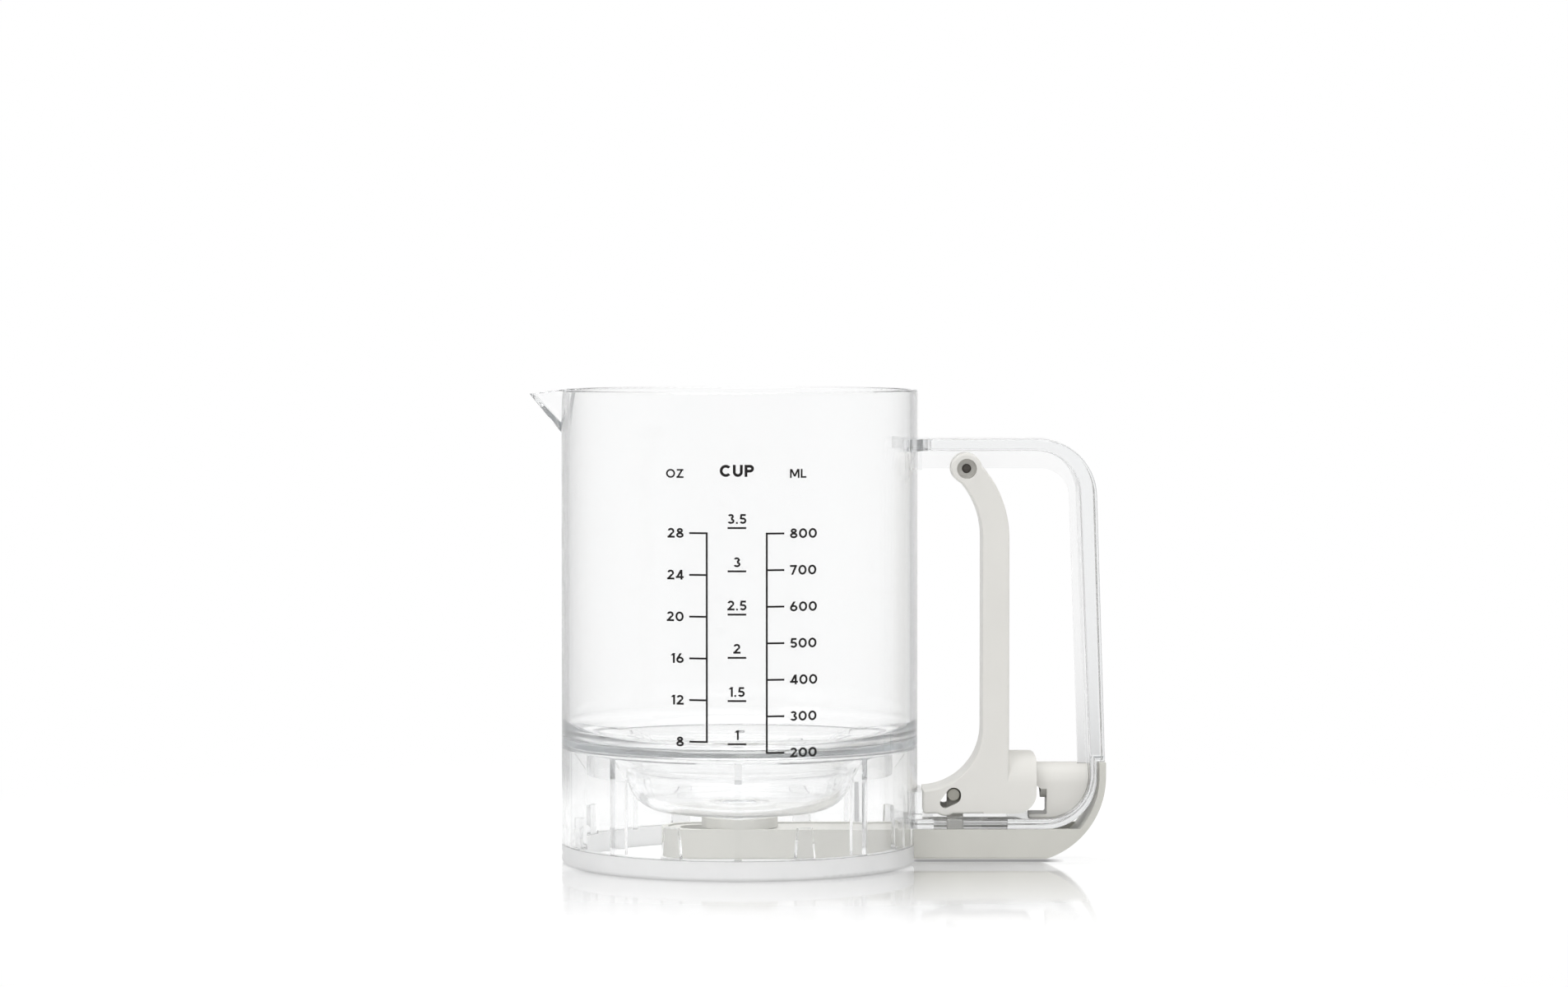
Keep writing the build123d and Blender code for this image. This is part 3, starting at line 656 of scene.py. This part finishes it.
# Camera, worked out from the photograph's 1906 x 1200 frame
IMAGE_WIDTH, IMAGE_HEIGHT = 1906, 1200
FOCAL_PX = 5735
HORIZON_PY = 376
CAMERA_AT = (0.0139, -1.476, 0.173)
SENSOR_WIDTH = 36.0
CLIP_NEAR, CLIP_FAR = 0.05, 50.0
LIGHT_BOUNCES = 64
CLEAR_LAYERS = 16


def studio_level(tree, direction):
    """Brightness of the room in a direction: a white backdrop that falls off to the sides, and a
    greyer room overhead and behind the camera."""
    x, y, z = split_axes(tree, vector_node(tree, "NORMALIZE", direction, "Vector"))
    flat = math_node(tree, "ADD", multiply(tree, x, x), multiply(tree, y, y))
    flat = math_node(tree, "SQRT", math_node(tree, "ADD", flat, TINY))
    side = math_node(tree, "DIVIDE", math_node(tree, "ABSOLUTE", x), flat)
    backdrop = ramp_node(tree, side, BACKDROP_NEAR, BACKDROP_FAR, 1.0, SIDE_LEVEL, smooth=True)
    wing = ramp_node(tree, side, WING_NEAR, WING_FAR, 1.0, WING_LEVEL / SIDE_LEVEL, smooth=True)
    front = ramp_node(tree, side, FRONT_NEAR, FRONT_FAR, FRONT_LEVEL, WING_LEVEL, smooth=True)
    behind = math_node(tree, "GREATER_THAN", y, 0.0)
    level = blend(tree, behind, front, multiply(tree, backdrop, wing))
    overhead = ramp_node(tree, z, OVERHEAD_LOW, OVERHEAD_HIGH, 1.0, OVERHEAD_LEVEL, smooth=True)
    return multiply(tree, level, overhead)


def build_world():
    """White to the camera and in the floor's mirror, a studio to glass and gloss, and an even light
    to the rest."""
    world = bpy.data.worlds.new("studio")
    world.use_nodes = True
    bpy.context.scene.world = world
    tree = world.node_tree
    tree.nodes.clear()
    place = add_node(tree, "ShaderNodeTexCoord")
    path = add_node(tree, "ShaderNodeLightPath").outputs
    level = studio_level(tree, place.outputs["Generated"])
    from_floor = math_node(tree, "GREATER_THAN", path["Transparent Depth"], FILM_PASSED)
    from_floor = multiply(tree, from_floor, path["Is Glossy Ray"])
    through = multiply(tree, from_floor, path["Is Transmission Ray"])
    level = multiply(tree, level, ramp_node(tree, through, 0.0, 1.0, 1.0, MIRROR_ROOM))
    level = math_node(tree, "MAXIMUM", level, path["Is Camera Ray"])
    level = math_node(tree, "MAXIMUM", level, math_node(tree, "SUBTRACT", from_floor, through))
    seen = add_node(tree, "ShaderNodeBackground", {"Color": WHITE})
    tree.links.new(level, seen.inputs["Strength"])
    light = add_node(tree, "ShaderNodeBackground", {"Color": WHITE, "Strength": AMBIENT})
    is_seen = math_node(tree, "MAXIMUM", path["Is Glossy Ray"], path["Is Transmission Ray"])
    is_seen = math_node(tree, "MAXIMUM", path["Is Camera Ray"], is_seen)
    out = add_node(tree, "ShaderNodeOutputWorld")
    tree.links.new(mix_shaders(tree, is_seen, light, seen).outputs[0], out.inputs["Surface"])


def stage_material(name):
    """Material with an output alone. Returns it, its tree and the output's surface."""
    material = bpy.data.materials.new(name)
    material.use_nodes = True
    tree = material.node_tree
    tree.nodes.clear()
    return material, tree, add_node(tree, "ShaderNodeOutputMaterial").inputs["Surface"]


def floor_white(tree, position, distance, is_camera):
    """White floor with the object's shadow near the part, and the room's own levels far off."""
    far = ramp_node(tree, distance, FLOOR_NEAR, FLOOR_FAR, 0.0, 1.0, smooth=True)
    far_level = math_node(tree, "MAXIMUM", studio_level(tree, position), is_camera)
    glow = add_node(tree, "ShaderNodeEmission", {"Color": WHITE})
    tree.links.new(blend(tree, far, FLOOR_WHITE, far_level), glow.inputs["Strength"])
    lit = add_node(tree, "ShaderNodeBsdfDiffuse")
    lit_share = ramp_node(tree, distance, FLOOR_NEAR, FLOOR_FAR, FLOOR_LIT, 0.0, smooth=True)
    tree.links.new(lit_share, lit.inputs["Color"])
    white = add_node(tree, "ShaderNodeAddShader")
    tree.links.new(glow.outputs[0], white.inputs[0])
    tree.links.new(lit.outputs[0], white.inputs[1])
    return white


def mirror_share(tree, position, distance, beside):
    """How much the floor mirrors: less with distance, beside the cover and from above, and nothing
    inside the foot."""
    mapping = add_node(tree, "ShaderNodeMapping", {"Location": MIRROR_SHIFT, "Scale": MIRROR_SCALE})
    tree.links.new(position, mapping.inputs["Vector"])
    reach = vector_node(tree, "LENGTH", mapping.outputs["Vector"], "Value")
    share = ramp_node(tree, reach, MIRROR_NEAR, MIRROR_FAR, MIRROR_SHARE, 0.0)
    outside = ramp_node(tree, distance, FOOT_INSIDE, JUG_RADIUS, 0.0, 1.0, smooth=True)
    under = ramp_node(tree, beside, STRIP_START, STRIP_NEAR, 1.0, STRIP_SHARE)
    beyond = ramp_node(tree, beside, STRIP_FAR, STRIP_END, STRIP_SHARE, 1.0)
    strips = math_node(tree, "MAXIMUM", under, beyond)
    graze = add_node(tree, "ShaderNodeLayerWeight", {"Blend": GRAZE_BLEND})
    return multiply(tree, share, outside, strips, graze.outputs["Facing"])


def shade_share(tree, along, beside):
    """How much the cover shades the floor, along it and beside its middle."""
    core = ramp_node(tree, beside, SHADE_CORE, SHADE_EDGE, 1.0, 0.0)
    end = ramp_node(tree, along, SHADE_END, SHADE_GONE, 1.0, 0.0)
    start = ramp_node(tree, along, FOOT_INSIDE, JUG_RADIUS, 0.0, 1.0)
    return multiply(tree, core, end, start)


def floor_material():
    """Pale polished floor, plain to the light that it throws back and clear from below."""
    material, tree, surface = stage_material("floor")
    geometry = add_node(tree, "ShaderNodeNewGeometry").outputs
    path = add_node(tree, "ShaderNodeLightPath").outputs
    position = geometry["Position"]
    distance = vector_node(tree, "LENGTH", position, "Value")
    along, across = split_axes(tree, position)[:2]
    beside = math_node(tree, "ABSOLUTE", across)
    white = floor_white(tree, position, distance, path["Is Camera Ray"])
    mirror = add_node(tree, "ShaderNodeBsdfGlossy", {"Color": WHITE, "Roughness": MIRROR_ROUGHNESS})
    polished = mix_shaders(tree, mirror_share(tree, position, distance, beside), white, mirror)
    shade = add_node(tree, "ShaderNodeEmission", {"Color": WHITE, "Strength": SHADE_LEVEL})
    shaded = mix_shaders(tree, shade_share(tree, along, beside), polished, shade)
    plain = add_node(tree, "ShaderNodeBsdfDiffuse", {"Color": FLOOR_ALBEDO})
    above = mix_shaders(tree, path["Is Diffuse Ray"], shaded, plain)
    below = add_node(tree, "ShaderNodeBsdfTransparent")
    tree.links.new(mix_shaders(tree, geometry["Backfacing"], above, below).outputs[0], surface)
    return material


def film_material():
    """Clear film over the floor. It marks the rays that have met the floor for the world's shader."""
    material, tree, surface = stage_material("floor_film")
    tree.links.new(add_node(tree, "ShaderNodeBsdfTransparent").outputs[0], surface)
    return material


def build_floor():
    """Wide floor at the foot's level, with its film."""
    form = bmesh.new()
    half = FLOOR_SIZE / 2
    for index, drop in enumerate((FLOOR_DROP, FILM_DROP)):
        corners = [form.verts.new((x * half, y * half, -drop)) for x, y in FLOOR_CORNERS]
        form.faces.new(corners).material_index = index
    mesh = to_mesh("floor", form)
    mesh.materials.append(floor_material())
    mesh.materials.append(film_material())
    floor = add_object("floor", mesh)


def add_lamp(name, place, side, power):
    """Soft square lamp that points at the part."""
    data = bpy.data.lights.new(name, "AREA")
    data.shape = "SQUARE"
    data.size = side
    data.energy = power
    lamp = add_object(name, data)
    lamp.location = place
    lamp.rotation_mode = "QUATERNION"
    lamp.rotation_quaternion = (Vector(LAMP_AIM) - Vector(place)).to_track_quat("-Z", "Y")


def build_camera():
    """Camera at the photograph's viewing angle."""
    data = bpy.data.cameras.new("camera")
    data.sensor_width = SENSOR_WIDTH
    data.sensor_fit = "HORIZONTAL"
    data.lens = SENSOR_WIDTH * FOCAL_PX / IMAGE_WIDTH
    data.clip_start, data.clip_end = CLIP_NEAR, CLIP_FAR
    camera = add_object("camera", data)
    camera.location = CAMERA_AT
    pitch_down = math.atan((IMAGE_HEIGHT / 2 - HORIZON_PY) / FOCAL_PX)
    camera.rotation_euler = (math.pi / 2 - pitch_down, 0, 0)
    bpy.context.scene.camera = camera


build_world()
build_floor()
for lamp_values in LAMPS:
    add_lamp(*lamp_values)
build_camera()

scene = bpy.context.scene
scene.view_settings.view_transform = "Standard"
scene.cycles.max_bounces = LIGHT_BOUNCES
scene.cycles.transmission_bounces = LIGHT_BOUNCES
scene.cycles.glossy_bounces = LIGHT_BOUNCES
scene.cycles.transparent_max_bounces = CLEAR_LAYERS
